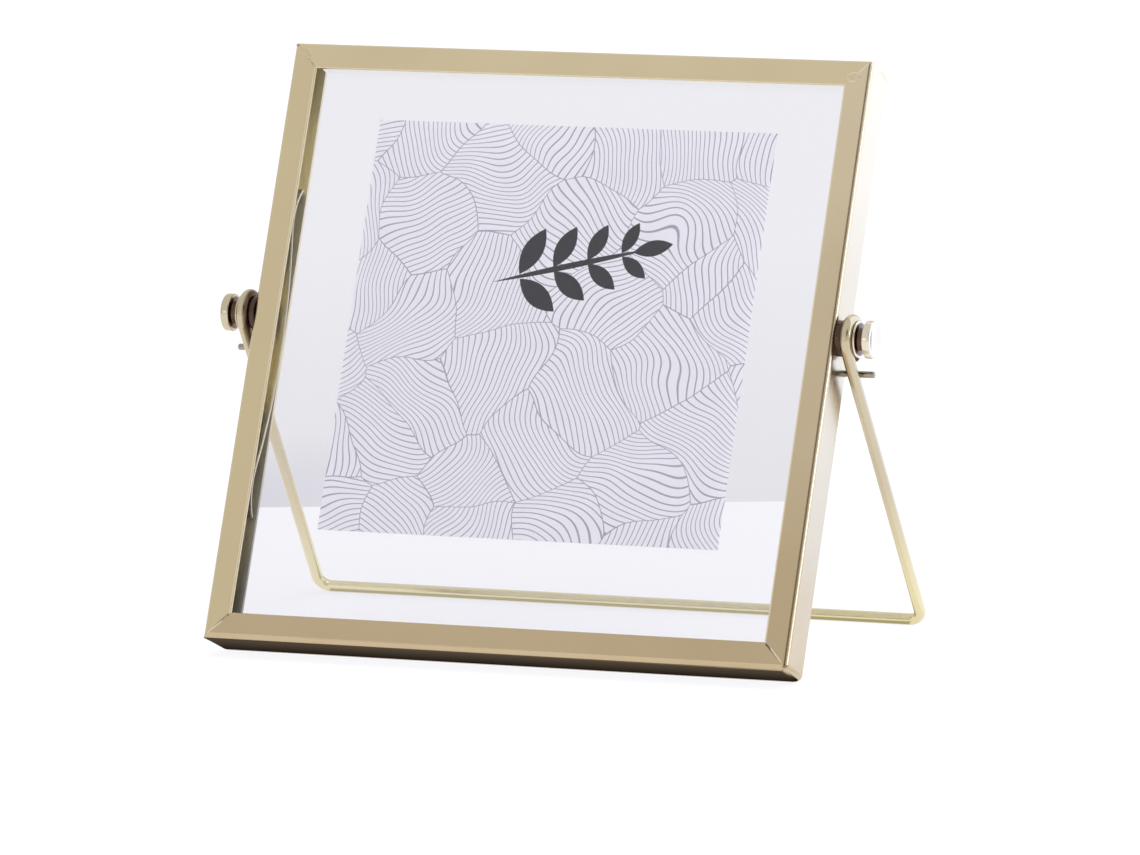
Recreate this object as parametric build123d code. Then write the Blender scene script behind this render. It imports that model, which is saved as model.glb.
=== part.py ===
from build123d import *
from math import acos, asin, atan2, cos, degrees, pi, radians, sin, sqrt
import os

# A folding table frame for photographs. Four pieces of folded brass channel are mitred and soldered
# into a square. Two glass panes hold a print between them, and a bowed leaf spring in each upright
# channel presses the panes against the front lip. A bent wire stand swings on two thumb screws in
# the side walls, and opens until its legs meet a stop pin on each side.
# Millimetres and degrees. Upright, X is across, Y is depth from the front face and Z is height.
# The finished frame then leans back on its bottom rear edge, with the stand's foot on the table.

# Brass channel
frame_width = 148.0
frame_height = 148.0
channel_depth = 11.8
sheet = 0.9
bend_radius = 0.65
front_lip = 6.4
back_lip = 5.0
corner_round = 1.5
lip_edge_round = 0.35
solder_leg = 1.5
solder_hollow = 0.5
solder_inset = 0.3

# Glass and print
glass_thickness = 2.4
glass_side_slip = 0.2
glass_top_slip = 0.6
glass_edge = 0.3
print_width = 101.6
print_height = 101.6
print_thickness = 0.2
print_shift = 1.0
print_rise = 5.1

# Leaf springs
leaf_width = 4.0
leaf_thickness = 0.4
leaf_length_share = 0.53
leaf_wall_gap = 0.1
leaf_touch_gap = 0.02
leaf_curl_radius = 1.8
leaf_curl_turn = 75.0

# Wire stand
wire_diameter = 2.8
eye_radius = 4.4
eye_end_gap = 0.2
corner_radius = 3.2
lean_angle = 26.2
open_angle = 57.3
fold_depth_share = 0.5

# Pivot, thumb screw, washer and nut
pivot_height = 81.2
pivot_depth = 4.5
washer_radius = 4.3
washer_thickness = 1.95
side_gap = 0.05
running_gap = 0.05
inner_flange_radius = 4.4
inner_flange = 0.75
neck_radius = 2.7
neck_length = 1.5
outer_flange_radius = 4.5
outer_flange = 1.6
rim_chamfer = 0.35
shank_radius = 1.5
wall_hole_gap = 0.1
nut_flats = 5.5
nut_thickness = 2.2

# Stop pins
pin_radius = 0.8
pin_length = 7.3
pin_reach = 9.0
stop_gap = 0.03

# Sizes worked out from the ones above
wall_x = frame_width / 2
inner_x = wall_x - sheet
glass_width = frame_width - 2 * sheet - back_lip - glass_side_slip
glass_height = frame_height - 2 * sheet - glass_top_slip
front_glass_y = sheet
print_y = front_glass_y + glass_thickness
back_glass_y = print_y + print_thickness
glass_back_y = back_glass_y + glass_thickness
wire_radius = wire_diameter / 2
eye_x = wall_x + washer_thickness + side_gap + wire_radius
flange_x = eye_x + wire_radius + side_gap
shoulder_radius = eye_radius - wire_radius - running_gap
leg_angle = open_angle - lean_angle


def upright(y, z):
    """A point of the upright frame, as a place in the leaning one, measured from the bottom rear edge."""
    back = y - channel_depth
    lean = radians(lean_angle)
    return (back * cos(lean) + z * sin(lean), z * cos(lean) - back * sin(lean))


# The stand's side view, from the bottom rear edge. The leg leaves its eye along a tangent in front of
# the pivot and runs down and back until the wire lies on the table.
leg_dir = Vector(0, sin(radians(leg_angle)), -cos(radians(leg_angle)))
leg_side = Vector(0, cos(radians(leg_angle)), sin(radians(leg_angle)))
pivot = Vector(0, *upright(pivot_depth, pivot_height))
leg_top = pivot - leg_side * eye_radius
leg_length = (leg_top.Z - wire_radius) / cos(radians(leg_angle))
foot = leg_top + leg_dir * leg_length

# The frame's foremost edge is the bend at its foot, and the wire's foot is its rearmost point. The
# origin lies halfway between them, on the table.
outer_bend = bend_radius + sheet / 2
bend_y, bend_z = upright(outer_bend, outer_bend)
rear_edge_y = -((bend_y - outer_bend) + (foot.Y + wire_radius)) / 2
leaning = Pos(0, rear_edge_y, 0) * Rot(-lean_angle, 0, 0) * Pos(0, -channel_depth, 0)
on_table = Pos(0, rear_edge_y, 0)

# The pin lies behind the leg, so it is placed in the leaning frame and carried by the side wall.
pin_behind = wire_radius + pin_radius + stop_gap
pin_place = leg_top + leg_dir * pin_reach + leg_side * pin_behind


def channel_section(lip_behind):
    """Folded sheet seen end on. X is inward from the wall's outer face, and Y is depth."""
    skin = sheet / 2
    points = [(front_lip, skin), (skin, skin), (skin, channel_depth)]
    if lip_behind:
        points = points[:2] + [(skin, channel_depth - skin), (lip_behind, channel_depth - skin)]
    return trace(FilletPolyline(*points, radius=bend_radius), line_width=sheet)


def channel(length, lip_behind=0):
    """One side of the frame, standing along Z and mitred at both ends, with its wall at X zero."""
    half = length / 2
    bar = extrude(channel_section(lip_behind), amount=half, both=True)
    inner_edge = bar.edges().filter_by(Axis.Z).sort_by(Axis.Y)[:3].sort_by(Axis.X)[-1]
    bar = fillet(inner_edge, lip_edge_round)
    wedge = Polyline((0, -half), (0, half), (front_lip, half - front_lip),
                     (front_lip, front_lip - half), close=True)
    return bar & extrude(Plane.XZ * make_face(wedge), amount=-channel_depth)


def rounded_outline():
    """The square's outline through its depth, with its four outer corners filed round."""
    outline = Plane.XZ * RectangleRounded(frame_width, frame_height, corner_round)
    return Pos(0, 0, frame_height / 2) * extrude(outline, amount=-channel_depth)


def wall_holes():
    """The screw's hole and the pin's hole, cut through both side walls."""
    span = 2 * (wall_x + sheet)
    screw = Pos(0, pivot_depth, pivot_height) * Rot(0, 90, 0) * Cylinder(shank_radius + wall_hole_gap, span)
    pin = leaning.inverse() * on_table * Pos(0, pin_place.Y, pin_place.Z) * Rot(0, 90, 0)
    return screw + pin * Cylinder(pin_radius, span)


def frame_sides():
    outline = rounded_outline()
    holes = wall_holes()
    middle = frame_height / 2
    stile = channel(frame_height, back_lip)
    rail = channel(frame_width)
    return {
        "top_rail": Pos(0, 0, frame_height) * Rot(0, 90, 0) * rail & outline,
        "bottom_rail": Rot(0, -90, 0) * rail & outline,
        "left_stile": (Pos(-wall_x, 0, middle) * stile & outline) - holes,
        "right_stile": (Pos(wall_x, 0, middle) * Rot(0, 180, 0) * stile & outline) - holes,
    }


def corner_solder():
    """A hollow fillet of solder up the inside of a corner, from the front lip to the rear edge."""
    hollow = ThreePointArc((solder_leg, 0), (solder_hollow, solder_hollow), (0, solder_leg))
    section = make_face(hollow + Polyline((0, solder_leg), (0, 0), (solder_leg, 0)))
    return extrude(section, amount=channel_depth - 2 * (sheet + solder_inset))


def solders():
    """The same fillet in the four corners, each turned to face the middle."""
    fillet_up = Rot(90, 0, 0) * corner_solder()
    depth = channel_depth - sheet - solder_inset
    corners = {"bottom_left": (-inner_x, sheet, 0), "top_left": (-inner_x, frame_height - sheet, 90),
               "top_right": (inner_x, frame_height - sheet, 180), "bottom_right": (inner_x, sheet, 270)}
    return {name + "_solder": Pos(x, depth, z) * Rot(0, turn, 0) * fillet_up
            for name, (x, z, turn) in corners.items()}


def pane(y):
    """A glass pane standing on the bottom rail, with its long edges ground."""
    glass = Pos(0, y + glass_thickness / 2, sheet + glass_height / 2)
    glass = glass * Box(glass_width, glass_thickness, glass_height)
    return chamfer(glass.faces().filter_by(Axis.Y).edges(), glass_edge)


def print_sheet():
    middle_z = frame_height / 2 + print_rise
    sheet_box = Box(print_width, print_thickness, print_height)
    return Pos(print_shift, print_y + print_thickness / 2, middle_z) * sheet_box


def leaf_spring():
    """The right-hand spring: bowed against the back lip, with its tips curled off the glass."""
    half = leaf_length_share * frame_height / 2
    skin = leaf_thickness / 2
    crown = channel_depth - sheet - leaf_touch_gap - skin
    lowest = glass_back_y + leaf_touch_gap + skin
    slope = 2 * atan2(crown - lowest, half)
    tip = lowest + leaf_curl_radius * (1 - cos(slope))
    middle = frame_height / 2
    bow = ThreePointArc((tip, middle - half), (crown, middle), (tip, middle + half))
    upper = JernArc(bow @ 1, bow % 1, leaf_curl_radius, -leaf_curl_turn)
    lower = JernArc(bow @ 0, (bow % 0) * -1, leaf_curl_radius, leaf_curl_turn)
    strip = extrude(trace([lower, bow, upper], line_width=leaf_thickness), amount=leaf_width)
    lay = Plane(origin=(inner_x - leaf_wall_gap - leaf_width, 0, 0), x_dir=(0, 1, 0), z_dir=(1, 0, 0))
    return lay.location * strip


def at_pivot(shape, out=0):
    """Turn a piece made along Z outward along X, onto the right-hand pivot, with its start out from the wall."""
    return Pos(wall_x + out, pivot_depth, pivot_height) * Rot(0, 90, 0) * shape


def ring(outer, inner, thickness):
    return extrude(Circle(outer) - Circle(inner), amount=thickness)


def spacer_washer():
    return at_pivot(ring(washer_radius, shoulder_radius + running_gap, washer_thickness))


def pivot_nut():
    hexagon = RegularPolygon(nut_flats / 2, side_count=6, major_radius=False)
    return at_pivot(extrude(hexagon - Circle(shank_radius + running_gap), amount=nut_thickness),
                    -sheet - nut_thickness)


def thumb_screw():
    """A turned spool. Its shoulder carries the eye, and its shank goes through the wall into the nut."""
    shank_end = -sheet - nut_thickness
    flange = flange_x - wall_x
    neck = flange + inner_flange
    outer = neck + neck_length
    end = outer + outer_flange
    outline = make_face(Polyline(
        (shank_end, 0), (shank_end, shank_radius), (side_gap, shank_radius),
        (side_gap, shoulder_radius), (flange, shoulder_radius), (flange, inner_flange_radius),
        (neck, inner_flange_radius), (neck, neck_radius), (outer, neck_radius),
        (outer, outer_flange_radius), (end, outer_flange_radius), (end, 0), close=True))
    head_rims = outline.vertices().filter_by_position(Axis.X, outer, end).sort_by(Axis.Y)[-2:]
    screw = revolve(chamfer(head_rims, rim_chamfer), Axis.X)
    return Pos(wall_x, pivot_depth, pivot_height) * screw


def stop_pin():
    """A plain pin, pressed through the side wall behind the leg."""
    pin = Cylinder(pin_radius, sheet + pin_length, align=(Align.CENTER, Align.CENTER, Align.MIN))
    return Pos(inner_x, pin_place.Y, pin_place.Z) * Rot(0, 90, 0) * pin


def wire_stand():
    """One bent wire: an eye, a leg, the foot across the table, a leg and an eye."""
    eye_gap = acos(1 - (wire_diameter + eye_end_gap) / eye_radius)
    eye_turn = 2 * pi - eye_gap

    def eye_point(x, angle):
        around = leg_dir * sin(angle) - leg_side * cos(angle)
        return Vector(x, 0, 0) + pivot + around * eye_radius

    def eye(x):
        return ThreePointArc(eye_point(x, -eye_turn), eye_point(x, -eye_turn / 2), eye_point(x, 0))

    left, right = Vector(-eye_x, 0, 0), Vector(eye_x, 0, 0)
    bail = FilletPolyline(left + leg_top, left + foot, right + foot, right + leg_top, radius=corner_radius)
    path = Wire([eye(-eye_x).edge(), *bail.edges(), eye(eye_x).edge()])
    start = Plane(origin=path @ 0, z_dir=path % 0)
    return sweep(start * Circle(wire_radius), path=path)


def build():
    held = {**frame_sides(), **solders(), "front_glass": pane(front_glass_y),
            "back_glass": pane(back_glass_y), "print_sheet": print_sheet()}
    pairs = {"leaf_spring": leaf_spring(), "pivot_nut": pivot_nut(), "spacer_washer": spacer_washer(),
             "thumb_screw": thumb_screw()}
    for name, piece in pairs.items():
        held["right_" + name] = piece
        held["left_" + name] = mirror(piece, about=Plane.YZ)
    nodes = {name: leaning * piece for name, piece in held.items()}
    nodes["right_stop_pin"] = on_table * stop_pin()
    nodes["left_stop_pin"] = mirror(nodes["right_stop_pin"], about=Plane.YZ)
    nodes["wire_stand"] = on_table * wire_stand()
    return nodes


def folded_turn():
    """How far the stand turns about +X until its foot lies under the middle of the channel."""
    foot_reach = sqrt(leg_length ** 2 + eye_radius ** 2)
    behind = asin((fold_depth_share * channel_depth - pivot_depth) / foot_reach)
    return open_angle - degrees(behind + atan2(eye_radius, leg_length))


os.makedirs("parts", exist_ok=True)
for name, piece in build().items():
    piece.label = name
    export_step(piece, "parts/" + name + ".step")

print("pivot Y, Z:", round(rear_edge_y + pivot.Y, 3), round(pivot.Z, 3))
print("leg length:", round(leg_length, 2), " folded turn:", round(folded_turn(), 2))
print("clear of the bottom edge when folded:",
      round(sqrt(leg_length ** 2 + eye_radius ** 2) - wire_radius - pivot.length, 2))
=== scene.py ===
import bmesh
import bpy
import random
from math import acos, atan2, cos, pi, radians, sin, sqrt
from mathutils import Matrix, Quaternion, Vector


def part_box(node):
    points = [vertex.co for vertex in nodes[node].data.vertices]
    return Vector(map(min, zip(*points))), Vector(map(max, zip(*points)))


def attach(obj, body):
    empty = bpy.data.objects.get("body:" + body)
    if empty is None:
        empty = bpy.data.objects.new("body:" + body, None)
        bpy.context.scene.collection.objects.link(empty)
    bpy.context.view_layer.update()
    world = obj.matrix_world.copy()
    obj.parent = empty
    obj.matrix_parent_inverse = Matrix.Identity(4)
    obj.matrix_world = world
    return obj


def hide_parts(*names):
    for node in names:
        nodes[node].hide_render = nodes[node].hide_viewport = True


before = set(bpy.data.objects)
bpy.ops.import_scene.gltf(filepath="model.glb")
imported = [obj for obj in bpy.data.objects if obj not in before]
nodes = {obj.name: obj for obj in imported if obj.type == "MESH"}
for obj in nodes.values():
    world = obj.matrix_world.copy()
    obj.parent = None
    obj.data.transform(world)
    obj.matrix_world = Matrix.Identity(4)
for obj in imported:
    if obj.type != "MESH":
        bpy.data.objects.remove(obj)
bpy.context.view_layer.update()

# Studio. A long lens looks at the frame from its right and a little above, over a plain pale floor.
# The room is an even light grey. A broad lamp stands high in front and another behind, both hidden from
# reflections. Seven cards, pale, tinted or dark, show only in the metal.
studio = bpy.context.scene
studio.view_settings.view_transform = "Standard"

camera_place = Vector((0.878612, -2.107696, 0.470651))
camera_sight = Vector((-0.376700, 0.908563, -0.180583))
camera_tilt = radians(-1.572)
camera_lens, camera_sensor = 309.96, 36.0
camera_reach = 100.0
bpy.ops.object.camera_add(location=camera_place)
camera = bpy.context.object
camera.name = "camera"
camera.rotation_mode = "QUATERNION"
camera.rotation_quaternion = camera_sight.to_track_quat("-Z", "Y") @ Quaternion((0, 0, 1), camera_tilt)
camera.data.lens = camera_lens
camera.data.sensor_width = camera_sensor
camera.data.clip_end = camera_reach
studio.camera = camera


def calculate(tree, operation, first, second=0.0, third=0.0):
    step = tree.nodes.new("ShaderNodeMath")
    step.operation = operation
    for socket, value in zip(step.inputs, (first, second, third)):
        if isinstance(value, (int, float)):
            socket.default_value = value
        else:
            tree.links.new(value, socket)
    return step.outputs[0]


def split(tree, vector):
    """The X, Y and Z parts of a vector, by their names."""
    parts = tree.nodes.new("ShaderNodeSeparateXYZ")
    tree.links.new(vector, parts.inputs[0])
    return parts.outputs


def spread(tree, value, low, high, start=0.3, stop=0.7):
    """Carry a value's range from start to stop onto the range from low to high. The range taken where
    none is given is the middle one of a noise."""
    ramp = tree.nodes.new("ShaderNodeMapRange")
    ramp.inputs["From Min"].default_value = start
    ramp.inputs["From Max"].default_value = stop
    ramp.inputs["To Min"].default_value = low
    ramp.inputs["To Max"].default_value = high
    tree.links.new(value, ramp.inputs["Value"])
    return ramp.outputs["Result"]


def blend_colours(tree, share, first, second):
    mix = tree.nodes.new("ShaderNodeMix")
    mix.data_type = "RGBA"
    for socket, colour in ((mix.inputs[6], first), (mix.inputs[7], second)):
        if isinstance(colour, tuple):
            socket.default_value = (*colour, 1)
        else:
            tree.links.new(colour, socket)
    tree.links.new(share, mix.inputs[0])
    return mix.outputs[2]


def blend_values(tree, share, first, second):
    mix = tree.nodes.new("ShaderNodeMix")
    mix.inputs[2].default_value = first
    tree.links.new(second, mix.inputs[3])
    tree.links.new(share, mix.inputs[0])
    return mix.outputs[0]


def mix_shaders(tree, share, first, second, output):
    mix = tree.nodes.new("ShaderNodeMixShader")
    tree.links.new(share, mix.inputs[0])
    tree.links.new(first, mix.inputs[1])
    tree.links.new(second, mix.inputs[2])
    tree.links.new(mix.outputs[0], output)


def seen_directly(tree):
    """One for what the lens sees plainly, in a reflection or through glass, and nothing for light. The
    second value is one only through glass."""
    path = tree.nodes.new("ShaderNodeLightPath").outputs
    either = calculate(tree, "MAXIMUM", path["Is Camera Ray"], path["Is Glossy Ray"])
    through_glass = path["Is Transmission Ray"]
    return calculate(tree, "MAXIMUM", either, through_glass), through_glass


room_light, room_colour = 0.70, (0.985, 0.99, 1.0)
room = bpy.data.worlds.new("room")
studio.world = room
room.use_nodes = True
tree = room.node_tree
even_light = tree.nodes["Background"]
even_light.inputs["Color"].default_value = (*room_colour, 1)
even_light.inputs["Strength"].default_value = room_light
white_ground = tree.nodes.new("ShaderNodeBackground")
white_ground.inputs["Strength"].default_value = 1.0
mix_shaders(tree, seen_directly(tree)[0], even_light.outputs[0], white_ground.outputs[0],
            tree.nodes["World Output"].inputs["Surface"])


def soft_lamp(name, place, toward, side, power, colour):
    bpy.ops.object.light_add(type="AREA", location=place)
    lamp = bpy.context.object
    lamp.name = name
    lamp.data.shape = "RECTANGLE"
    lamp.data.size = lamp.data.size_y = side
    lamp.data.energy = power
    lamp.data.color = colour
    lamp.rotation_mode = "QUATERNION"
    lamp.rotation_quaternion = (Vector(toward) - Vector(place)).to_track_quat("-Z", "Y")
    lamp.visible_glossy = False


soft_lamp("key_lamp", (0.9, -0.4, 2.5), (0, 0.1, 0.05), 2.0, 44.0, (1.0, 0.99, 0.98))
soft_lamp("back_lamp", (0.5, 2.3, 1.5), (0, 0, 0.08), 1.6, 40.0, (0.98, 0.99, 1.0))

floor_half, floor_middle = 6.0, 2.0
table_end, table_slant = 0.178, 0.32
room_reach, dim_reach = 0.42, 0.11
dim_start, dim_full = -0.09, -0.15
plain_tone, table_tone, near_room_tone, far_room_tone = 1.08, 0.96, 0.75, 0.855
ground_colour, dim_colour = (0.975, 0.975, 1.0), (0.77, 0.755, 0.86)
shown_share = 0.86
bpy.ops.mesh.primitive_plane_add(size=2 * floor_half, location=(0, floor_middle, 0))
floor = bpy.context.object
floor.name = "floor"
paint = bpy.data.materials.new("floor_paint")
paint.use_nodes = True
tree = paint.node_tree
surface = tree.nodes["Principled BSDF"]
surface.inputs["Base Color"].default_value = (0.95, 0.95, 0.95, 1)
surface.inputs["Roughness"].default_value = 0.9
surface.inputs["Specular IOR Level"].default_value = 0.1
# Through glass the floor is painted as a table that ends behind the frame, and past its end as the grey of a
# room, with a painted shade near the table on the left.
directly, through_glass = seen_directly(tree)
parts = split(tree, tree.nodes.new("ShaderNodeTexCoord").outputs["Object"])
along = calculate(tree, "MULTIPLY_ADD", parts["X"], -table_slant, parts["Y"])
table_line = table_end - floor_middle
past_table = calculate(tree, "GREATER_THAN", along, table_line)
room_tone = spread(tree, along, near_room_tone, far_room_tone, table_line, table_line + room_reach)
tone = blend_values(tree, through_glass, plain_tone, blend_values(tree, past_table, table_tone, room_tone))
# Painted shade: dimmer near the table's end on the left, seen only through glass.
dimness = calculate(tree, "MULTIPLY", spread(tree, along, 1, 0, table_line, table_line + dim_reach),
                    spread(tree, parts["X"], 0, 1, dim_start, dim_full))
for only_where in (past_table, through_glass):
    dimness = calculate(tree, "MULTIPLY", dimness, only_where)
plain_ground = tree.nodes.new("ShaderNodeEmission")
tree.links.new(blend_colours(tree, dimness, ground_colour, dim_colour), plain_ground.inputs["Color"])
tree.links.new(tone, plain_ground.inputs["Strength"])
mix_shaders(tree, calculate(tree, "MULTIPLY", directly, shown_share), surface.outputs[0],
            plain_ground.outputs[0], tree.nodes["Material Output"].inputs["Surface"])
floor.data.materials.append(paint)


def studio_card(name, place, toward, width, height, low_glow, high_glow, colour=(1, 1, 1)):
    """A card that shows only in the metal, and neither lights the object nor shades it. Its glow rises
    from its lower edge to its upper edge."""
    bpy.ops.mesh.primitive_plane_add(size=1, location=place)
    card = bpy.context.object
    card.name = name
    card.scale = (width, height, 1)
    card.rotation_mode = "QUATERNION"
    card.rotation_quaternion = (Vector(toward) - Vector(place)).to_track_quat("Z", "Y")
    finish = bpy.data.materials.new(name)
    finish.use_nodes = True
    tree = finish.node_tree
    surface = tree.nodes["Principled BSDF"]
    surface.inputs["Base Color"].default_value = (0, 0, 0, 1)
    surface.inputs["Specular IOR Level"].default_value = 0
    surface.inputs["Emission Color"].default_value = (*colour, 1)
    up_card = split(tree, tree.nodes.new("ShaderNodeTexCoord").outputs["Object"])["Y"]
    tree.links.new(spread(tree, up_card, low_glow, high_glow, -0.5, 0.5), surface.inputs["Emission Strength"])
    card.data.materials.append(finish)
    card.visible_camera = card.visible_diffuse = card.visible_shadow = card.visible_transmission = False


studio_card("dark_card", (0.94, -0.94, 0.89), (0, 0, 0.08), 0.75, 0.75, 0.10, 0.10)
# Painted shadow: a dark strip on the floor under the bottom rail, seen only in the metal, stands in for the
# shade there.
studio_card("rail_shadow_strip", (-0.0075, -0.0352, 0.0003), (-0.0075, -0.0352, 1), 0.161, 0.010, 0.0, 0.24,
            (1, 0.82, 0.66))
studio_card("bright_card", (0.26, 0.08, 0.15), (0.26, -1, 0.15), 0.35, 0.3, 1.58, 2.04, (0.74, 0.815, 0.99))
studio_card("low_card", (0.19, 0.025, 0.0004), (0.19, 0.025, 1), 0.214, 0.11, 1.38, 1.38, (0.83, 0.86, 0.95))
studio_card("edge_card", (1.2, 0.27, 0.28), (0, 0, 0.08), 0.3, 0.3, 9.0, 9.0, (0.70, 0.78, 1.0))
studio_card("front_card", (-0.66, -1.6, 0.39), (0, 0, 0.08), 0.5, 0.36, 1.45, 1.45)
# Painted shadow: a dim warm strip on the floor along the front of the foot, seen only in the metal.
studio_card("foot_shadow_strip", (0, 0.0376, 0.0003), (0, 0.0376, 1), 0.15, 0.0022, 0.5, 0.5, (1, 0.97, 0.78))

# Sides of the frame. Four lengths of 0.9 mm brass sheet are folded to a channel round the glass, cut
# to a mitre at both ends, and lacquered a satin champagne gold. The uprights have a lip behind as
# well, so they are a full channel. The top and bottom have only the front lip and the wall.
mm = 0.001
frame_width = 148.0 * mm
frame_height = 148.0 * mm
half_width = frame_width / 2
channel_depth = 11.8 * mm
sheet = 0.9 * mm
outer_bend = 1.45 * mm
front_lip = 6.4 * mm
back_lip = 5.0 * mm
lip_round = 0.3 * mm
cut_round = 0.12 * mm
lean = radians(26.2)
rear_edge_y = -30.198 * mm
hair = 0.01 * mm
leaning = (Matrix.Translation((0, rear_edge_y, 0)) @ Matrix.Rotation(-lean, 4, "X")
           @ Matrix.Translation((0, -channel_depth, 0)))


def choose(piece):
    bpy.ops.object.select_all(action="DESELECT")
    bpy.context.view_layer.objects.active = piece
    piece.select_set(True)


def start_edit(piece):
    choose(piece)
    bpy.ops.object.mode_set(mode="EDIT")
    bpy.ops.mesh.select_mode(type="EDGE")
    bpy.ops.mesh.select_all(action="DESELECT")


def end_edit():
    bpy.ops.object.mode_set(mode="OBJECT")


def pick_edges(piece, wanted, lengthwise=False):
    """Select the edges whose two ends both answer to wanted, and nothing else. Where only the lengthwise
    ones are asked for, those that lie level are left out."""
    bpy.ops.mesh.select_all(action="DESELECT")
    shape = bmesh.from_edit_mesh(piece.data)
    for edge in shape.edges:
        level = abs(edge.verts[0].co.z - edge.verts[1].co.z) < hair
        edge.select_set(all(wanted(end.co) for end in edge.verts) and not (lengthwise and level))
    bmesh.update_edit_mesh(piece.data)


def close_seams(threshold):
    """Merge what lies together in the piece being edited, and point its faces outward."""
    bpy.ops.mesh.select_all(action="SELECT")
    bpy.ops.mesh.remove_doubles(threshold=threshold)
    bpy.ops.mesh.normals_make_consistent(inside=False)


def apply_modifier(piece, kind, **settings):
    choose(piece)
    added = piece.modifiers.new(kind.lower(), kind)
    for setting, value in settings.items():
        setattr(added, setting, value)
    bpy.ops.object.modifier_apply(modifier=added.name)


def place(piece, where):
    """Put a piece where it belongs, with its place in its mesh and its own object at the origin."""
    choose(piece)
    piece.rotation_mode = "QUATERNION"
    piece.matrix_world = where @ piece.matrix_world
    bpy.ops.object.transform_apply(location=True, rotation=True, scale=True)


def smooth(piece, angle=30):
    choose(piece)
    bpy.ops.object.shade_smooth_by_angle(angle=radians(angle))


def near(value, target):
    return abs(value - target) < hair


bend_steps, lip_steps, mitre_steps = 7, 4, 2
# The turns, in degrees, at which a corner is filed in flats, and the tilts that go on to a ball.
corner_turns, ball_tilts = (5.625, 16.875, 28.125, 39.375), (15, 30, 45, 60, 75)


def folded_side(name, length, lip_behind, mitres, outer_finish, inner_finish):
    """A side standing along Z, with its wall's outer face at X 0 and its front face at Y 0. Each of its
    mitres opens toward the glass by its own gap, and its outer corner is filed round: less at the front
    than behind, and to a ball where the round at the front is wider than the bend."""
    bpy.ops.mesh.primitive_plane_add(size=1, location=(0, channel_depth / 2, length / 2),
                                     rotation=(0, pi / 2, 0))
    side = bpy.context.object
    side.name = name
    side.scale = (length, channel_depth, 1)
    bpy.ops.object.transform_apply(location=True, rotation=True, scale=True)
    start_edit(side)
    pick_edges(side, lambda end: near(end.y, 0))
    bpy.ops.mesh.extrude_region_move(TRANSFORM_OT_translate={"value": (front_lip, 0, 0)})
    if lip_behind:
        pick_edges(side, lambda end: near(end.y, channel_depth))
        bpy.ops.mesh.extrude_region_move(TRANSFORM_OT_translate={"value": (back_lip, 0, 0)})
    bpy.ops.mesh.select_all(action="SELECT")
    bpy.ops.mesh.normals_make_consistent(inside=False)
    shape = bmesh.from_edit_mesh(side.data)
    wall = min(shape.faces, key=lambda face: abs(face.calc_center_median().x))
    if wall.normal.x > 0:
        bpy.ops.mesh.flip_normals()
    pick_edges(side, lambda end: near(end.x, 0) and (near(end.y, 0) or
                                                      (lip_behind and near(end.y, channel_depth))),
               lengthwise=True)
    bpy.ops.mesh.bevel(offset=outer_bend, segments=bend_steps, affect="EDGES")
    end_edit()
    side.data.materials.append(outer_finish)
    side.data.materials.append(inner_finish)
    apply_modifier(side, "SOLIDIFY", thickness=sheet, offset=-1, use_even_offset=True, material_offset=1)
    start_edit(side)
    pick_edges(side, lambda end: near(end.x, front_lip), lengthwise=True)
    bpy.ops.mesh.bevel(offset=lip_round, segments=lip_steps, affect="EDGES")
    for end, inward, (gap, front_round, rear_round) in ((0, 1, mitres[0]), (length, -1, mitres[1])):
        across = Vector((1, 0, -inward)).normalized()
        across.rotate(Quaternion((0, 1, 0), inward * radians(gap)))
        bpy.ops.mesh.select_all(action="SELECT")
        bpy.ops.mesh.bisect(plane_co=(0, 0, end), plane_no=across, use_fill=True, clear_outer=True)
        for turn in corner_turns:
            out = Vector((-cos(radians(turn)), 0, -inward * sin(radians(turn))))
            front_touch, rear_touch = (Vector((radius, depth, end + inward * radius)) + out * radius
                                       for radius, depth in ((front_round, 0), (rear_round, channel_depth)))
            flat_cut = (rear_touch - front_touch).cross(Vector((out.z, 0, -out.x))).normalized()
            if flat_cut.dot(out) < 0:
                flat_cut.negate()
            cuts = [(front_touch, flat_cut)]
            if front_round > outer_bend:
                ball_middle = (Vector((front_round, outer_bend, end + inward * front_round))
                               + out * (front_round - outer_bend))
                for tilt in ball_tilts:
                    outward = out * cos(radians(tilt)) - Vector((0, sin(radians(tilt)), 0))
                    cuts.append((ball_middle + outward * outer_bend, outward))
            for spot, outward in cuts:
                bpy.ops.mesh.select_all(action="SELECT")
                bpy.ops.mesh.bisect(plane_co=spot, plane_no=outward, use_fill=True, clear_outer=True)
                shape = bmesh.from_edit_mesh(side.data)
                for face in shape.faces:
                    if face.select:
                        face.material_index = 0
                bmesh.update_edit_mesh(side.data)
        pick_edges(side, lambda spot: abs((spot - Vector((0, 0, end))).dot(across)) < hair
                   and spot.y < outer_bend and spot.x > rear_round)
        bpy.ops.mesh.bevel(offset=cut_round, segments=mitre_steps, affect="EDGES")
    end_edit()
    smooth(side)
    apply_modifier(side, "WEIGHTED_NORMAL", keep_sharp=True)
    return side


def upright_place(finish):
    """Nodes that turn object coordinates back to the upright frame's: across, depth and height."""
    tree = finish.node_tree
    coordinates = tree.nodes.new("ShaderNodeTexCoord")
    turn = tree.nodes.new("ShaderNodeMapping")
    turn.inputs["Rotation"].default_value = (lean, 0, 0)
    turn.inputs["Location"].default_value = leaning.inverted().translation
    tree.links.new(coordinates.outputs["Object"], turn.inputs["Vector"])
    return turn.outputs["Vector"]


def upright_parts(finish):
    return split(finish.node_tree, upright_place(finish))


def noise(tree, vector, scale, detail=3.0, stretch=(1, 1, 1)):
    lengthen = tree.nodes.new("ShaderNodeMapping")
    lengthen.inputs["Scale"].default_value = stretch
    grain = tree.nodes.new("ShaderNodeTexNoise")
    grain.inputs["Scale"].default_value = scale
    grain.inputs["Detail"].default_value = detail
    tree.links.new(vector, lengthen.inputs["Vector"])
    tree.links.new(lengthen.outputs["Vector"], grain.inputs["Vector"])
    return grain.outputs["Fac"]


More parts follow.
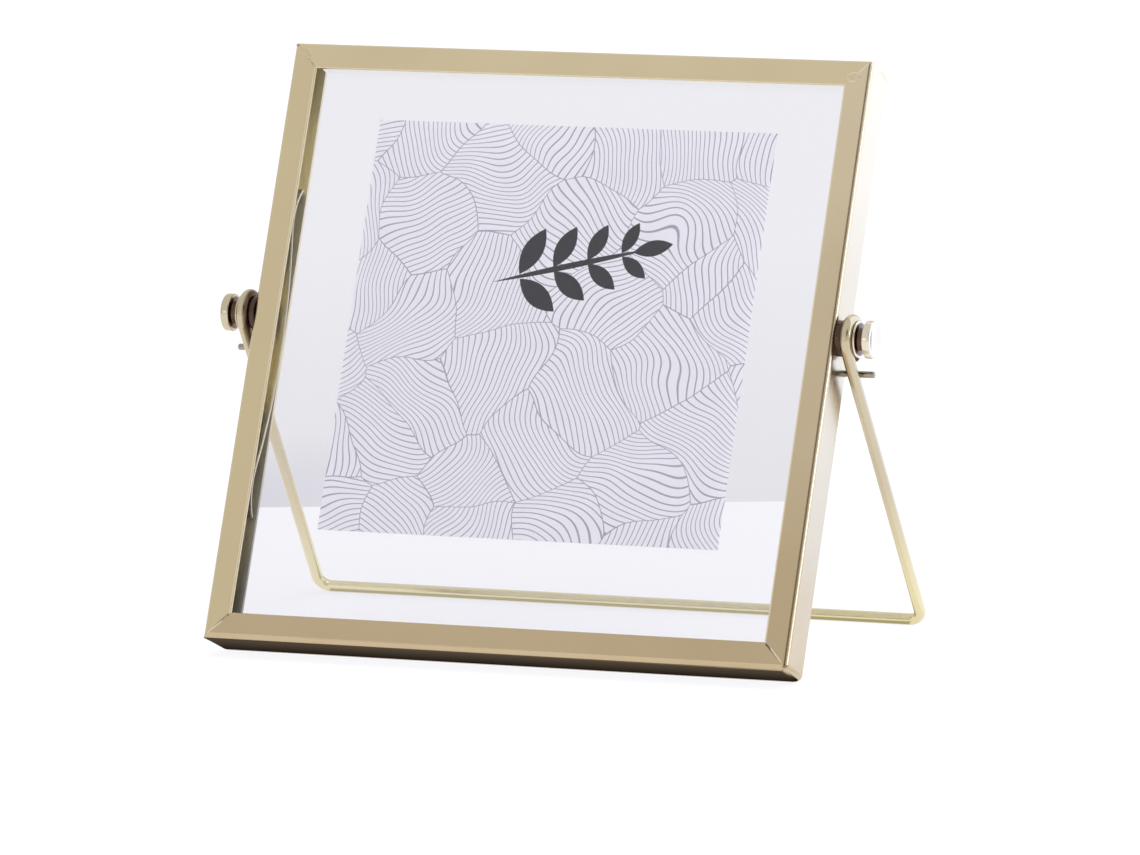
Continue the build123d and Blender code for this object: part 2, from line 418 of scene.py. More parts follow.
def raise_bump(tree, height, distance, strength):
    bump = tree.nodes.new("ShaderNodeBump")
    bump.inputs["Distance"].default_value = distance
    bump.inputs["Strength"].default_value = strength
    tree.links.new(height, bump.inputs["Height"])
    tree.links.new(bump.outputs["Normal"], tree.nodes["Principled BSDF"].inputs["Normal"])


lacquer_ior, lacquer_roughness = 1.8, 0.2
cloud_scale, streak_scale, grain_strength = 28.0, 900.0, 0.5


def metal(name, light, dark, smoothest, roughest, streak, grain_scale, grain_height, low_share=0.0,
          coat=0.0, low_reach=frame_height, cloud_share=0.25):
    """Lacquered metal: slow cloudy changes of colour, a painted shading toward its foot (painted shade where
    the second colour is darker, painted light where it is paler), a fine grain, and streaks.
    """
    finish = bpy.data.materials.new(name)
    finish.use_nodes = True
    tree = finish.node_tree
    surface = tree.nodes["Principled BSDF"]
    surface.inputs["Metallic"].default_value = 1.0
    surface.inputs["Coat Weight"].default_value = coat
    surface.inputs["Coat IOR"].default_value = lacquer_ior
    surface.inputs["Coat Roughness"].default_value = lacquer_roughness
    at = upright_place(finish)
    clouds = spread(tree, noise(tree, at, cloud_scale, 2.0), 0, cloud_share)
    # Painted shading: the colour moves toward the second colour down the piece, by height alone.
    painted_low_shading = spread(tree, split(tree, at)["Z"], low_share, 0, 0, low_reach)
    clouds_and_painted_shading = calculate(tree, "ADD", clouds, painted_low_shading)
    tree.links.new(blend_colours(tree, clouds_and_painted_shading, light, dark), surface.inputs["Base Color"])
    streaks = noise(tree, at, streak_scale, 2.0, streak)
    tree.links.new(spread(tree, streaks, smoothest, roughest), surface.inputs["Roughness"])
    raise_bump(tree, noise(tree, at, grain_scale, 2.0), grain_height, grain_strength)
    return finish


def paint_where(finish, share, colour):
    """Give a finish another colour where share is one."""
    tree = finish.node_tree
    base_colour = tree.nodes["Principled BSDF"].inputs["Base Color"]
    tree.links.new(blend_colours(tree, share, base_colour.links[0].from_socket, colour), base_colour)


# The four sides are lit and shaded copies of one champagne lacquer: the top rail is painted brighter and the
# right upright paler, as painted light, and low_share paints shade toward the foot, most on the bottom rail
# and the right upright.
champagne_bright, champagne_light = (0.73, 0.60, 0.36), (0.69, 0.56, 0.32)
champagne_pale, champagne_dark = (0.75, 0.625, 0.42), (0.53, 0.395, 0.21)
along_rail, along_stile, plain_grain = (0.03, 1, 1), (1, 1, 0.03), (1, 1, 1)
sheet_finishes = {node: metal("brushed_" + node, light, champagne_dark, smoothest=0.23, roughest=0.27,
                              streak=streak, grain_scale=3200.0, grain_height=0.002 * mm,
                              low_share=low_share, coat=1.0)
                  for node, light, streak, low_share in (("top_rail", champagne_bright, along_rail, 0.0),
                                                         ("bottom_rail", champagne_light, along_rail, 0.8),
                                                         ("left_stile", champagne_light, along_stile, 0.1),
                                                         ("right_stile", champagne_pale, along_stile, 0.95))}
# The cut edges of the uprights' front lips are painted paler than their faces, a painted highlight. The edge
# of the back lip on the left is painted dark low down, a painted shade.
lip_highlight_colour, back_lip_shade_colour = (0.83, 0.71, 0.47), (0.10, 0.08, 0.03)
lip_highlight_full, lip_highlight_none = half_width - front_lip + 0.35 * mm, half_width - front_lip + 0.5 * mm
back_shade_depth_none, back_shade_depth_full = channel_depth - 1.3 * mm, channel_depth - 1.2 * mm
back_shade_inside_none, back_shade_inside_full = back_lip - half_width - 0.5 * mm, back_lip - half_width - 0.4 * mm
back_shade_height_full, back_shade_height_none = 30 * mm, 62 * mm
for node in ("left_stile", "right_stile"):
    finish = sheet_finishes[node]
    tree = finish.node_tree
    parts = upright_parts(finish)
    off_middle = calculate(tree, "MULTIPLY", parts["X"], parts["X"])
    # Painted highlight along the front lips' cut edges.
    paint_where(finish, spread(tree, off_middle, 1, 0, lip_highlight_full ** 2, lip_highlight_none ** 2), lip_highlight_colour)
    if node == "left_stile":
        # Painted shade: the left back lip's edge is painted dark low down.
        back_lip_shade = calculate(tree, "MULTIPLY", spread(tree, parts["Y"], 0, 1, back_shade_depth_none, back_shade_depth_full),
                         spread(tree, parts["Z"], 1, 0, back_shade_height_full, back_shade_height_none))
        back_lip_shade = calculate(tree, "MULTIPLY", back_lip_shade,
                         spread(tree, parts["X"], 0, 1, back_shade_inside_none, back_shade_inside_full))
        paint_where(finish, back_lip_shade, back_lip_shade_colour)
# The inside faces are painted much darker within 62 mm of the bottom, a painted shade.
bare_brass = metal("bare_brass", (0.92, 0.83, 0.52), (0.10, 0.08, 0.02), smoothest=0.3, roughest=0.45,
                   streak=(1, 1, 0.2), grain_scale=1500.0, grain_height=0.004 * mm, low_share=0.9,
                   low_reach=62.0 * mm, cloud_share=0.08)
# Each corner: the gap of its mitre in degrees, and its rounds at the front and behind.
top_left, top_right = (1.5, 0.7 * mm, 2.4 * mm), (0.15, 0.7 * mm, 2.4 * mm)
bottom_left, bottom_right = (2.0, 0.3 * mm, 1.8 * mm), (1.5, 1.75 * mm, 2.6 * mm)
sides = {
    "left_stile": (Matrix.Translation((-half_width, 0, 0)), frame_height, True, (bottom_left, top_left)),
    "right_stile": (Matrix.Translation((half_width, 0, frame_height)) @ Matrix.Rotation(pi, 4, "Y"),
                    frame_height, True, (top_right, bottom_right)),
    "bottom_rail": (Matrix.Translation((half_width, 0, 0)) @ Matrix.Rotation(-pi / 2, 4, "Y"),
                    frame_width, False, (bottom_right, bottom_left)),
    "top_rail": (Matrix.Translation((-half_width, 0, frame_height)) @ Matrix.Rotation(pi / 2, 4, "Y"),
                 frame_width, False, (top_left, top_right)),
}
for node, (where, length, lip_behind, mitres) in sides.items():
    side = folded_side("brass_" + node, length, lip_behind, mitres, sheet_finishes[node], bare_brass)
    place(side, leaning @ where)
    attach(side, "frame")
    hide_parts(node)

# Glass. Two panes of 2.4 mm float glass stand on the bottom channel, one before and one behind the
# print, with their edges ground. They are the CAD panes, in clear glass with a faint cool tint.
glass_ior, haze_scale = 1.5, 9.0
clear_tint, cool_tint = (0.972, 0.971, 0.988), (0.969, 0.968, 0.985)
glass = bpy.data.materials.new("float_glass")
glass.use_nodes = True
tree = glass.node_tree
surface = tree.nodes["Principled BSDF"]
surface.inputs["Transmission Weight"].default_value = 1.0
surface.inputs["IOR"].default_value = glass_ior
surface.inputs["Roughness"].default_value = 0.0
haze = spread(tree, noise(tree, upright_place(glass), haze_scale, 1.0), 0, 1)
tree.links.new(blend_colours(tree, haze, clear_tint, cool_tint), surface.inputs["Base Color"])
for node in ("front_glass", "back_glass"):
    pane = nodes[node]
    pane.data.materials.clear()
    pane.data.materials.append(glass)
    pane.visible_shadow = False

# Print. A square sheet of pale lilac paper, 4 inches each way, with a drawing of fine grey lines: cells
# of concentric arcs, each with its own centre. A plain sprig in dark ink stands above the middle. The
# back of the sheet is bare.
paper_white, paper_shade = (0.81, 0.80, 0.86), (0.785, 0.775, 0.835)
line_grey, dark_ink = (0.35, 0.33, 0.40), (0.011, 0.010, 0.018)
fibre_scale, fibre_height, fibre_strength = 1500.0, 0.01 * mm, 0.3


def paper_stock(name):
    """Uncoated paper with its fibres; gives back the material and its colour."""
    stock = bpy.data.materials.new(name)
    stock.use_nodes = True
    tree = stock.node_tree
    surface = tree.nodes["Principled BSDF"]
    surface.inputs["Roughness"].default_value = 0.75
    surface.inputs["Specular IOR Level"].default_value = 0.05
    fibres = noise(tree, upright_place(stock), fibre_scale, 4.0)
    raise_bump(tree, fibres, fibre_height, fibre_strength)
    colour = blend_colours(tree, spread(tree, fibres, 0, 1), paper_white, paper_shade)
    tree.links.new(colour, surface.inputs["Base Color"])
    return stock, colour


def calculate_vector(tree, operation, first, second=None, scale=None):
    step = tree.nodes.new("ShaderNodeVectorMath")
    step.operation = operation
    for socket, value in ((step.inputs[0], first), (step.inputs[1], second)):
        if isinstance(value, tuple):
            socket.default_value = value
        elif value is not None:
            tree.links.new(value, socket)
    if scale is not None:
        step.inputs["Scale"].default_value = scale
    return step.outputs["Value" if operation == "LENGTH" else "Vector"]


def join(tree, first, second):
    """A vector with these as its first two coordinates."""
    vector = tree.nodes.new("ShaderNodeCombineXYZ")
    tree.links.new(first, vector.inputs["X"])
    tree.links.new(second, vector.inputs["Y"])
    return vector.outputs["Vector"]


bare_paper, _ = paper_stock("bare_paper")
paper, paper_colour = paper_stock("printed_paper")
tree = paper.node_tree
print_middle = Vector((1.0 * mm, 0, frame_height / 2 + 5.1 * mm))
line_gap, line_width, border_half = 1.3 * mm, 0.26 * mm, 0.11 * mm
cell_size, cell_randomness = 21.0 * mm, 0.85
arc_throw = 27.0 * mm
sway_scale, sway_reach = 38.0, 13.0 * mm
parts = upright_parts(paper)
spot = join(tree, calculate(tree, "SUBTRACT", parts["X"], print_middle.x),
            calculate(tree, "SUBTRACT", parts["Z"], print_middle.z))
sway = tree.nodes.new("ShaderNodeTexNoise")
sway.noise_dimensions = "2D"
sway.inputs["Scale"].default_value = sway_scale
sway.inputs["Detail"].default_value = 1.0
tree.links.new(spot, sway.inputs["Vector"])
pushed = calculate_vector(tree, "SCALE", calculate_vector(tree, "SUBTRACT", sway.outputs["Color"],
                                                          (0.5, 0.5, 0.5)), scale=sway_reach)
swayed = calculate_vector(tree, "ADD", spot, pushed)
cells = []
for feature in ("F1", "DISTANCE_TO_EDGE"):
    cell = tree.nodes.new("ShaderNodeTexVoronoi")
    cell.voronoi_dimensions = "2D"
    cell.feature = feature
    cell.inputs["Scale"].default_value = 1 / cell_size
    cell.inputs["Randomness"].default_value = cell_randomness
    tree.links.new(swayed, cell.inputs["Vector"])
    cells.append(cell.outputs)
heading = calculate(tree, "MULTIPLY", split(tree, cells[0]["Color"])["X"], 2 * pi)
throw = join(tree, *(calculate(tree, "MULTIPLY", calculate(tree, part, heading), arc_throw)
                     for part in ("COSINE", "SINE")))
arc_centre = calculate_vector(tree, "ADD", cells[0]["Position"], throw)
flat_only = calculate_vector(tree, "MULTIPLY", calculate_vector(tree, "SUBTRACT", swayed, arc_centre),
                             (1, 1, 0))
wave = calculate(tree, "PINGPONG", calculate_vector(tree, "LENGTH", flat_only), line_gap / 2)
on_arc = calculate(tree, "LESS_THAN", wave, line_width / 2)
on_border = calculate(tree, "LESS_THAN", cells[1]["Distance"], border_half / cell_size)
lined = blend_colours(tree, calculate(tree, "MAXIMUM", on_arc, on_border), paper_colour, line_grey)

sprig_middle = Vector((3.6 * mm, 16.5 * mm, 0))
stem_length, stem_thickness = 40.0 * mm, 0.75 * mm
leaf_length, leaf_girth = 12.5 * mm, 5.2 * mm
leaf_pairs, pair_start, pair_spare, pair_shrink = 4, 1.55, 0.6, 0.11
stem_turn, leaf_turn, leaf_offset = radians(14), radians(52), 0.56
tip_offset, tip_length, tip_girth = 0.52, 0.8, 0.75


def leaf_mask(tree, spot, middle, turn, length, girth):
    """One inside a pointed leaf and nothing outside it: square of the way along plus way across under 1."""
    turned = tree.nodes.new("ShaderNodeMapping")
    turned.vector_type = "TEXTURE"
    turned.inputs["Location"].default_value = middle
    turned.inputs["Rotation"].default_value = (0, 0, turn)
    turned.inputs["Scale"].default_value = (length / 2, girth / 2, 1)
    tree.links.new(spot, turned.inputs["Vector"])
    parts = split(tree, turned.outputs["Vector"])
    across = calculate(tree, "ABSOLUTE", parts["Y"])
    return calculate(tree, "LESS_THAN", calculate(tree, "MULTIPLY_ADD", parts["X"], parts["X"], across), 1.0)


along_stem = Vector((cos(stem_turn), sin(stem_turn), 0))
inked = leaf_mask(tree, spot, sprig_middle, stem_turn, stem_length, stem_thickness * 2)
for pair in range(leaf_pairs):
    root = sprig_middle + along_stem * (stem_length * (pair - pair_start) / (leaf_pairs + pair_spare))
    size = 1 - pair_shrink * pair
    for side_turn in (leaf_turn, -leaf_turn):
        turn = stem_turn + side_turn
        middle = root + Vector((cos(turn), sin(turn), 0)) * leaf_length * size * leaf_offset
        leaf = leaf_mask(tree, spot, middle, turn, leaf_length * size, leaf_girth * size)
        inked = calculate(tree, "MAXIMUM", inked, leaf)
tip_leaf = leaf_mask(tree, spot, sprig_middle + along_stem * stem_length * tip_offset, stem_turn,
                     leaf_length * tip_length, leaf_girth * tip_girth)
inked = calculate(tree, "MAXIMUM", inked, tip_leaf)
tree.links.new(blend_colours(tree, inked, lined, dark_ink),
               tree.nodes["Principled BSDF"].inputs["Base Color"])
print_side, print_depth, print_thickness, print_cuts = 101.6 * mm, 3.3 * mm, 0.2 * mm, 7
air_gap = 0.02 * mm
bpy.ops.mesh.primitive_plane_add(size=print_side, rotation=(pi / 2, 0, 0),
                                 location=(print_middle.x, print_depth + air_gap, print_middle.z))
sheet_of_paper = bpy.context.object
sheet_of_paper.name = "printed_sheet"
bpy.ops.object.transform_apply(location=True, rotation=True, scale=True)
start_edit(sheet_of_paper)
bpy.ops.mesh.select_all(action="SELECT")
bpy.ops.mesh.subdivide(number_cuts=print_cuts)
end_edit()
sheet_of_paper.data.materials.append(paper)
sheet_of_paper.data.materials.append(bare_paper)
apply_modifier(sheet_of_paper, "SOLIDIFY", thickness=print_thickness - 2 * air_gap, offset=-1,
               material_offset=1)
place(sheet_of_paper, leaning)
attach(sheet_of_paper, "frame")
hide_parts("print_sheet")

# Stand. One length of 2.8 mm brass wire, bent cold: an eye round each thumb screw, a leg down each
# side, and the foot across the table. The wire is polished and lacquered with the rest.
wire_radius, wire_sides, wire_end_round = 1.4 * mm, 28, 0.12 * mm
eye_radius, eye_end_gap, eye_steps = 4.4 * mm, 0.2 * mm, 56
bend_radius, bend_turns = 3.2 * mm, 14
eye_x, foot_x = 76.9 * mm, 77.9 * mm
leg_length = 84.564 * mm
leg_angle = radians(57.3) - lean
pivot = Vector((0, -0.898 * mm, 76.08 * mm))
leg_up = Vector((0, -sin(leg_angle), cos(leg_angle)))
leg_side = Vector((0, cos(leg_angle), sin(leg_angle)))
foot = pivot - leg_side * eye_radius - leg_up * leg_length
bpy.ops.mesh.primitive_circle_add(vertices=wire_sides, radius=wire_radius, location=foot,
                                  rotation=(0, pi / 2, 0))
wire = bpy.context.object
wire.name = "bent_wire_stand"
bpy.ops.object.transform_apply(location=True, rotation=True, scale=True)
start_edit(wire)
bpy.ops.mesh.select_all(action="SELECT")
bpy.ops.mesh.extrude_region_move(TRANSFORM_OT_translate={"value": (foot_x - bend_radius, 0, 0)})
corner_middle = foot + Vector((foot_x - bend_radius, 0, 0)) + leg_up * bend_radius
bpy.ops.mesh.spin(steps=bend_turns, angle=pi / 2, center=corner_middle,
                  axis=leg_up.cross(Vector((1, 0, 0))))
leg_rise = leg_up * (leg_length - bend_radius) + Vector((eye_x - foot_x, 0, 0))
bpy.ops.mesh.extrude_region_move(TRANSFORM_OT_translate={"value": leg_rise})
eye_turn = 2 * pi - acos(1 - (2 * wire_radius + eye_end_gap) / eye_radius)
bpy.ops.mesh.spin(steps=eye_steps, angle=eye_turn, center=pivot + Vector((eye_x, 0, 0)), axis=(1, 0, 0))
bpy.ops.mesh.edge_face_add()
bpy.ops.mesh.inset(thickness=wire_end_round)
end_edit()
apply_modifier(wire, "MIRROR", merge_threshold=hair)
start_edit(wire)
close_seams(hair)
end_edit()
smooth(wire, 40)
fine_grain = 2600.0
# The wire is painted paler below 55 mm, toward its foot, as painted light.
polished_wire = metal("polished_wire", (0.55, 0.455, 0.30), (0.77, 0.68, 0.39), smoothest=0.18,
                      roughest=0.24, streak=plain_grain, grain_scale=fine_grain,
                      grain_height=0.0006 * mm, low_share=2.4, coat=0.5, low_reach=55.0 * mm)
wire.data.materials.append(polished_wire)
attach(wire, "stand")
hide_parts("wire_stand")

# Pivots. On each side a washer spaces the eye off the wall, and a turned brass thumb screw carries the
# eye on its shoulder. The screw goes through the washer and the wall into a small hexagon nut inside.
pivot_height, pivot_depth = 81.2 * mm, 4.5 * mm
washer_start, washer_end = 0.0, 1.45 * mm
washer_hole, washer_radius = 3.0 * mm, 4.3 * mm
nut_start, nut_end = -3.1 * mm, -0.9 * mm
nut_radius = 5.5 * mm / sqrt(3)
shank_radius, shoulder_radius, neck_radius = 1.5 * mm, 2.95 * mm, 2.7 * mm
shoulder_start, flange_start, flange_end = 0.05 * mm, 4.35 * mm, 4.95 * mm
head_start, head_end = 6.7 * mm, 8.7 * mm
flange_radius, head_radius = 4.4 * mm, 4.5 * mm
head_dish_radius, head_dish_depth, head_dish_share = 3.5 * mm, 0.35 * mm, 0.8
sharp_edge = radians(50)


def turned(name, steps, sides, edge_round, closed=False):
    """A piece turned along X: a circle, drawn out and resized step by step, as on a lathe."""
    bpy.ops.mesh.primitive_circle_add(vertices=sides, radius=steps[0][1], location=(steps[0][0], 0, 0),
                                      rotation=(0, pi / 2, 0))
    piece = bpy.context.object
    piece.name = name
    bpy.ops.object.transform_apply(location=True, rotation=True, scale=True)
    start_edit(piece)
    bpy.ops.mesh.select_all(action="SELECT")
    if not closed:
        bpy.ops.mesh.edge_face_add()
    for (before_x, before_radius), (x, radius) in zip(steps, steps[1:]):
        bpy.ops.mesh.extrude_region_move(TRANSFORM_OT_translate={"value": (x - before_x, 0, 0)})
        share = radius / before_radius
        if abs(share - 1) > hair:
            bpy.ops.transform.resize(value=(1, share, share), center_override=(x, 0, 0))
    close_seams(hair)
    bpy.ops.mesh.select_all(action="DESELECT")
    shape = bmesh.from_edit_mesh(piece.data)
    for edge in shape.edges:
        round_it = len(edge.link_faces) == 2 and edge.calc_face_angle() > sharp_edge
        edge.select_set(round_it and abs(edge.verts[0].co.x - edge.verts[1].co.x) < hair)
    bmesh.update_edit_mesh(piece.data)
    if edge_round:
        bpy.ops.mesh.bevel(offset=edge_round, segments=3, affect="EDGES")
    end_edit()
    smooth(piece, 35)
    return piece


round_axis = (0.2, 1, 1)
# The right screw is painted paler and the left darker: lit and shaded copies of one brass.
turned_brass = {hand: metal("turned_brass_" + hand, light, dark, smoothest=0.12, roughest=0.2,
                            streak=round_axis, grain_scale=fine_grain, grain_height=0.0008 * mm, coat=0.15)
                for hand, light, dark in (("left", (0.62, 0.54, 0.39), (0.56, 0.48, 0.34)),
                                          ("right", (0.79, 0.71, 0.58), (0.73, 0.65, 0.52)))}
# The washers between the wall and the eye, and the nuts inside, are painted near black-brown as painted
# shade.
pivot_shade_brass = metal("pivot_shade_brass", (0.085, 0.05, 0.036), (0.05, 0.03, 0.02), smoothest=0.14,
                        roughest=0.24, streak=round_axis, grain_scale=fine_grain,
                        grain_height=0.002 * mm, coat=0.1)
pivot_shade_brown = (0.11, 0.06, 0.035)


def paint_pivot_shade(finish, full, none, nearest, farthest):
    """Paint a brown shade on a finish round the pivots, a painted shade: fully within one distance of their
    axis and not at all past another, and only between two distances from the middle of the frame."""
    tree = finish.node_tree
    parts = upright_parts(finish)
    off_axis = join(tree, calculate(tree, "SUBTRACT", parts["Y"], pivot_depth),
                    calculate(tree, "SUBTRACT", parts["Z"], pivot_height))
    near_axis = spread(tree, calculate_vector(tree, "LENGTH", off_axis), 1, 0, full, none)
    between = spread(tree, calculate(tree, "ABSOLUTE", parts["X"]), 1, 0, nearest, farthest)
    paint_where(finish, calculate(tree, "MULTIPLY", near_axis, between), pivot_shade_brown)


head_face = half_width + head_start
# Painted shade on each screw's shoulder and in its groove, inside the head.
for screw_finish in turned_brass.values():
    paint_pivot_shade(screw_finish, full=3.7 * mm, none=4.1 * mm, nearest=head_face, farthest=head_face + 0.1 * mm)
# Painted shade on the wire's inner side round the eye, where it faces the wall.
paint_pivot_shade(polished_wire, full=14.0 * mm, none=21.0 * mm, nearest=eye_x - 0.9 * mm, farthest=eye_x - 0.3 * mm)
screw_steps = ((nut_start, shank_radius), (shoulder_start, shank_radius), (shoulder_start, shoulder_radius),
               (flange_start, shoulder_radius), (flange_start, flange_radius), (flange_end, flange_radius),
               (flange_end, neck_radius), (head_start, neck_radius), (head_start, head_radius),
               (head_end, head_radius), (head_end, head_dish_radius),
               (head_end - head_dish_depth, head_dish_radius * head_dish_share))
washer_steps = ((washer_start, washer_hole), (washer_start, washer_radius), (washer_end, washer_radius),
                (washer_end, washer_hole), (washer_start, washer_hole))
nut_steps = ((nut_start, shank_radius), (nut_start, nut_radius), (nut_end, nut_radius),
             (nut_end, shank_radius), (nut_start, shank_radius))
for hand, way in (("left", -1), ("right", 1)):
    at_pivot = leaning @ Matrix.Translation((way * half_width, pivot_depth, pivot_height))
    if way < 0:
        at_pivot = at_pivot @ Matrix.Rotation(pi, 4, "Z")
    screw = turned("thumb_screw_" + hand, screw_steps, sides=72, edge_round=0.3 * mm)
    washer = turned("spacing_washer_" + hand, washer_steps, sides=64, edge_round=0.15 * mm, closed=True)
    nut = turned("hexagon_nut_" + hand, nut_steps, sides=6, edge_round=0.2 * mm, closed=True)
    for piece, body, node, finish in ((screw, hand + "_screw", hand + "_thumb_screw", turned_brass[hand]),
                                      (washer, "frame", hand + "_spacer_washer", pivot_shade_brass),
                                      (nut, "frame", hand + "_pivot_nut", pivot_shade_brass)):
        place(piece, at_pivot)
        piece.data.materials.append(finish)
        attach(piece, body)
        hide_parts(node)

# Stop pins. A short plain pin of round brass rod, with domed ends, is pressed through each side wall
# behind the leg. The leg comes to rest on it when the stand is open.
pin_radius, pin_dome = 0.8 * mm, 0.35 * mm
# The pins are painted a dark brass, as painted shade.
pin_brass = metal("pin_brass", (0.34, 0.30, 0.22), (0.26, 0.23, 0.16), smoothest=0.14, roughest=0.22,
                  streak=round_axis, grain_scale=fine_grain, grain_height=0.0008 * mm, coat=0.5)
for hand in ("left", "right"):
    low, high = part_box(hand + "_stop_pin")
    pin_steps = ((0, pin_radius), (high.x - low.x, pin_radius))
    pin = turned("stop_pin_" + hand, pin_steps, sides=32, edge_round=pin_dome)
    place(pin, Matrix.Translation((low.x, (low.y + high.y) / 2, (low.z + high.z) / 2)))
    pin.data.materials.append(pin_brass)
    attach(pin, "frame")
    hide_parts(hand + "_stop_pin")

# Solder marks. A little solder ran through the mitres before the frame was lacquered: a low uneven
# seam at each corner, a drop and a dark tip at the top left, and a ring at the top right where a drop
# was wiped off.
coarse_grain, solder_grain_height = 900.0, 0.01 * mm
# The seams and the ring stand proud as solder, and are painted paler than the sheet as a painted highlight
# along the mitres.
seam_solder = metal("seam_solder", (0.80, 0.70, 0.50), (0.72, 0.61, 0.42), smoothest=0.25, roughest=0.4,
                    streak=plain_grain, grain_scale=coarse_grain, grain_height=solder_grain_height, coat=0.5)
champagne_solder = metal("champagne_solder", (0.73, 0.60, 0.40), (0.66, 0.53, 0.34), smoothest=0.4,
                         roughest=0.5, streak=plain_grain, grain_scale=coarse_grain,
                         grain_height=solder_grain_height)
tip_solder = metal("tip_solder", (0.42, 0.39, 0.33), (0.34, 0.31, 0.26), smoothest=0.3, roughest=0.45,
                   streak=plain_grain, grain_scale=coarse_grain, grain_height=solder_grain_height, coat=0.3)
seam_rings, seam_sides, least_swell = 13, 16, 0.12
random.seed(11)
# Each mark, in millimetres: where it starts and ends, half its width, and how far it stands proud.
seams = {
    "solder_seam_top_right": ((73.2, 147.2), (70.5, 144.5), 0.3, 0.12),
    "solder_seam_bottom_left": ((-72.8, 1.2), (-69.3, 4.35), 0.2, 0.07),
    "solder_seam_bottom_right": ((72.7, 1.5), (69.2, 5.2), 0.22, 0.08),
    "solder_seam_top_left": ((-73.1, 147.1), (-70.9, 144.9), 0.35, 0.12),
    "solder_drop_top_left": ((-71.7, 146.2), (-69.6, 144.1), 0.6, 0.16),
    "solder_tip_top_left": ((-73.55, 146.95), (-72.85, 147.35), 0.3, 0.3),
}
for name, (start, end, half_wide, proud) in seams.items():
    start, end = (Vector((x, 0, z)) * mm for x, z in (start, end))
    along = end - start
    steps = []
    for ring in range(seam_rings):
        share = ring / (seam_rings - 1)
        swell = max(least_swell, sqrt(max(0.0, 1 - (2 * share - 1) ** 4)))
        steps.append((along.length * share, half_wide * mm * swell * random.uniform(0.85, 1.1)))
    seam = turned(name, steps, seam_sides, edge_round=0)
    way = along.normalized()
    lie_flat = Matrix((way, Vector((0, proud / half_wide, 0)), way.cross(Vector((0, 1, 0))))).transposed()
    place(seam, leaning @ Matrix.Translation(start) @ lie_flat.to_4x4())
    seam.data.materials.append(tip_solder if "tip" in name else
                               champagne_solder if "top_left" in name else seam_solder)
    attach(seam, "frame")

ring_middle = Vector((69.7, 0, 143.7)) * mm
ring_radius, ring_thickness, ring_sides, ring_steps = 1.2 * mm, 0.2 * mm, 10, 30
ring_turn, ring_press = radians(300), (1.2, 0.7, 0.9)
bpy.ops.mesh.primitive_circle_add(vertices=ring_sides, radius=ring_thickness, location=(ring_radius, 0, 0))
wiped_ring = bpy.context.object
wiped_ring.name = "solder_ring_top_right"
bpy.ops.object.transform_apply(location=True, rotation=True, scale=True)
start_edit(wiped_ring)
bpy.ops.mesh.select_all(action="SELECT")
bpy.ops.mesh.spin(steps=ring_steps, angle=ring_turn, center=(0, 0, 0), axis=(0, 1, 0))
bpy.ops.mesh.select_all(action="SELECT")
bpy.ops.transform.resize(value=ring_press)
close_seams(hair / 10)
end_edit()
smooth(wiped_ring, 60)
place(wiped_ring, leaning @ Matrix.Translation(ring_middle))
wiped_ring.data.materials.append(seam_solder)
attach(wiped_ring, "frame")

# Leaf springs and solder. A bowed strip of spring brass in each upright presses the panes forward: its crown
# bears on the back lip, and its ends curl away from the glass. Its faces are painted dark as painted shade,
# lighter about the crown, and its inner cut edge is painted bright as a painted highlight. Soft solder, the
# CAD piece, is run up every corner.
spring_width, spring_thickness = 4.0 * mm, 0.4 * mm
spring_wall_gap, spring_edge_round, square_edge = 0.1 * mm, 0.08 * mm, radians(60)
spring_middle, spring_touch = 72.3 * mm, 32.8 * mm
spring_front, spring_crown, bow_steps = 6.12 * mm, 10.68 * mm, 16
curl_radius, curl_turn, curl_steps = 13.0 * mm, radians(38), 14
spring_slope = 2 * atan2(spring_crown - spring_front, spring_touch)
bow_radius = spring_touch / sin(spring_slope) - curl_radius
# Painted shade: the spring's faces are dark brass.
spring_brass = metal("spring_brass", (0.15, 0.125, 0.07), (0.10, 0.08, 0.04), smoothest=0.25,
                     roughest=0.38, streak=along_stile, grain_scale=fine_grain, grain_height=0.003 * mm)
crown_tone, spring_edge_highlight = (0.68, 0.57, 0.26), (0.72, 0.68, 0.55)
crown_tone_above, crown_tone_full, crown_tone_none = 3.5 * mm, 11 * mm, 20 * mm
cut_edge = half_width - sheet - spring_wall_gap - spring_width
tree = spring_brass.node_tree
parts = upright_parts(spring_brass)
# Lighter about the crown.
from_crown = calculate(tree, "ABSOLUTE", calculate(tree, "SUBTRACT", parts["Z"],
                                                   spring_middle + crown_tone_above))
paint_where(spring_brass, spread(tree, from_crown, 1, 0, crown_tone_full, crown_tone_none), crown_tone)
off_middle = calculate(tree, "ABSOLUTE", parts["X"])
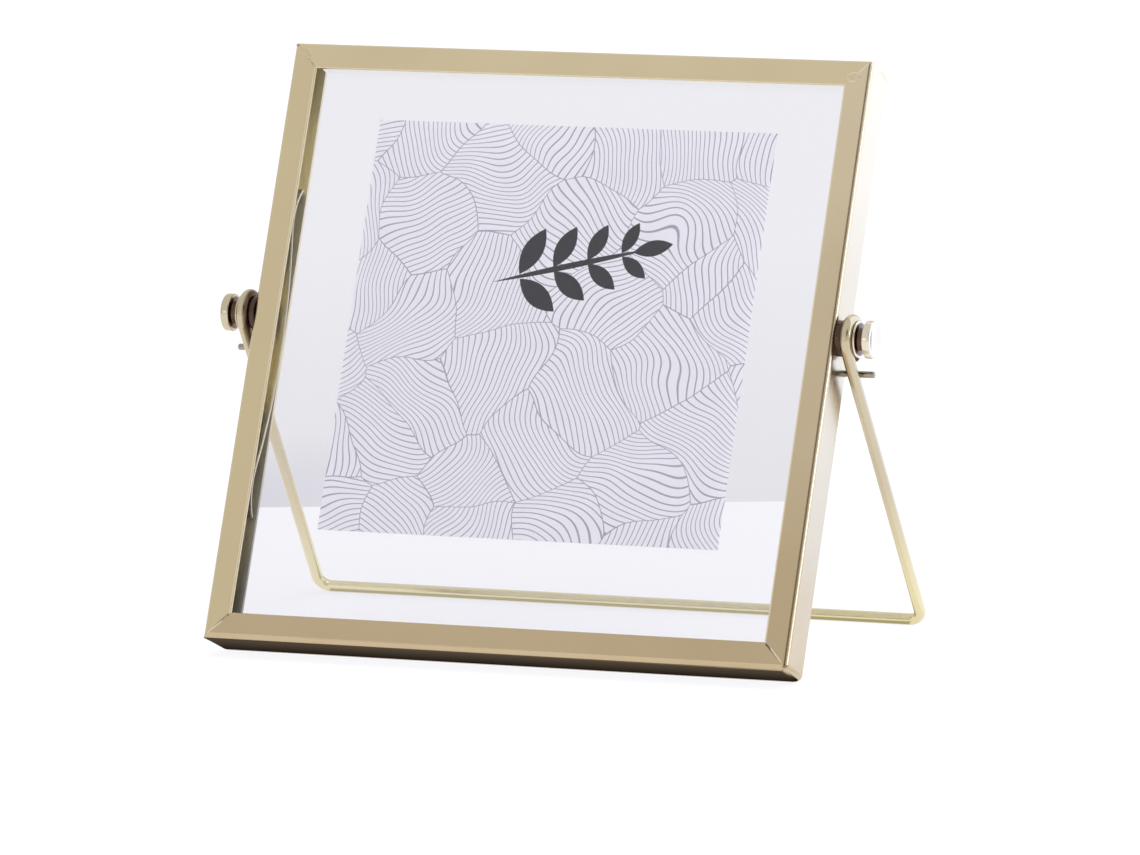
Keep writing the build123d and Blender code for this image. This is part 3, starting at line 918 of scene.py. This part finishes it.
# Painted highlight along the spring's inner cut edge.
paint_where(spring_brass, spread(tree, off_middle, 1, 0, cut_edge + 0.3 * mm, cut_edge + 0.4 * mm), spring_edge_highlight)
for hand, way in (("left", -1), ("right", 1)):
    middle_x = way * (half_width - sheet - spring_wall_gap - spring_width / 2)
    bpy.ops.mesh.primitive_plane_add(size=1, location=(middle_x, spring_crown, 0))
    spring = bpy.context.object
    spring.name = "bowed_spring_" + hand
    spring.scale = (spring_width, spring_thickness, 1)
    bpy.ops.object.transform_apply(location=True, rotation=True, scale=True)
    start_edit(spring)
    bpy.ops.mesh.select_all(action="SELECT")
    bpy.ops.mesh.delete(type="ONLY_FACE")
    bpy.ops.mesh.select_all(action="SELECT")
    bow_middle = Vector((middle_x, spring_crown - bow_radius, 0))
    bpy.ops.mesh.spin(steps=bow_steps, angle=spring_slope, center=bow_middle, axis=(1, 0, 0))
    curl_middle = bow_middle + Vector((0, cos(spring_slope), -sin(spring_slope))) * (bow_radius + curl_radius)
    bpy.ops.mesh.spin(steps=curl_steps, angle=spring_slope + curl_turn, center=curl_middle, axis=(-1, 0, 0))
    bpy.ops.mesh.edge_face_add()
    end_edit()
    apply_modifier(spring, "MIRROR", use_axis=(False, False, True), merge_threshold=hair)
    start_edit(spring)
    close_seams(hair)
    shape = bmesh.from_edit_mesh(spring.data)
    for edge in shape.edges:
        edge.select_set(edge.calc_face_angle() > square_edge)
    bmesh.update_edit_mesh(spring.data)
    bpy.ops.mesh.bevel(offset=spring_edge_round, segments=2, affect="EDGES")
    end_edit()
    smooth(spring, 40)
    place(spring, leaning @ Matrix.Translation((0, 0, spring_middle)))
    spring.data.materials.append(spring_brass)
    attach(spring, "frame")
    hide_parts(hand + "_leaf_spring")

soft_solder = metal("soft_solder", (0.62, 0.58, 0.52), (0.50, 0.46, 0.40), smoothest=0.35, roughest=0.5,
                    streak=plain_grain, grain_scale=coarse_grain, grain_height=0.05 * mm)
for node, piece in nodes.items():
    if node.endswith("_solder"):
        piece.data.materials.clear()
        piece.data.materials.append(soft_solder)
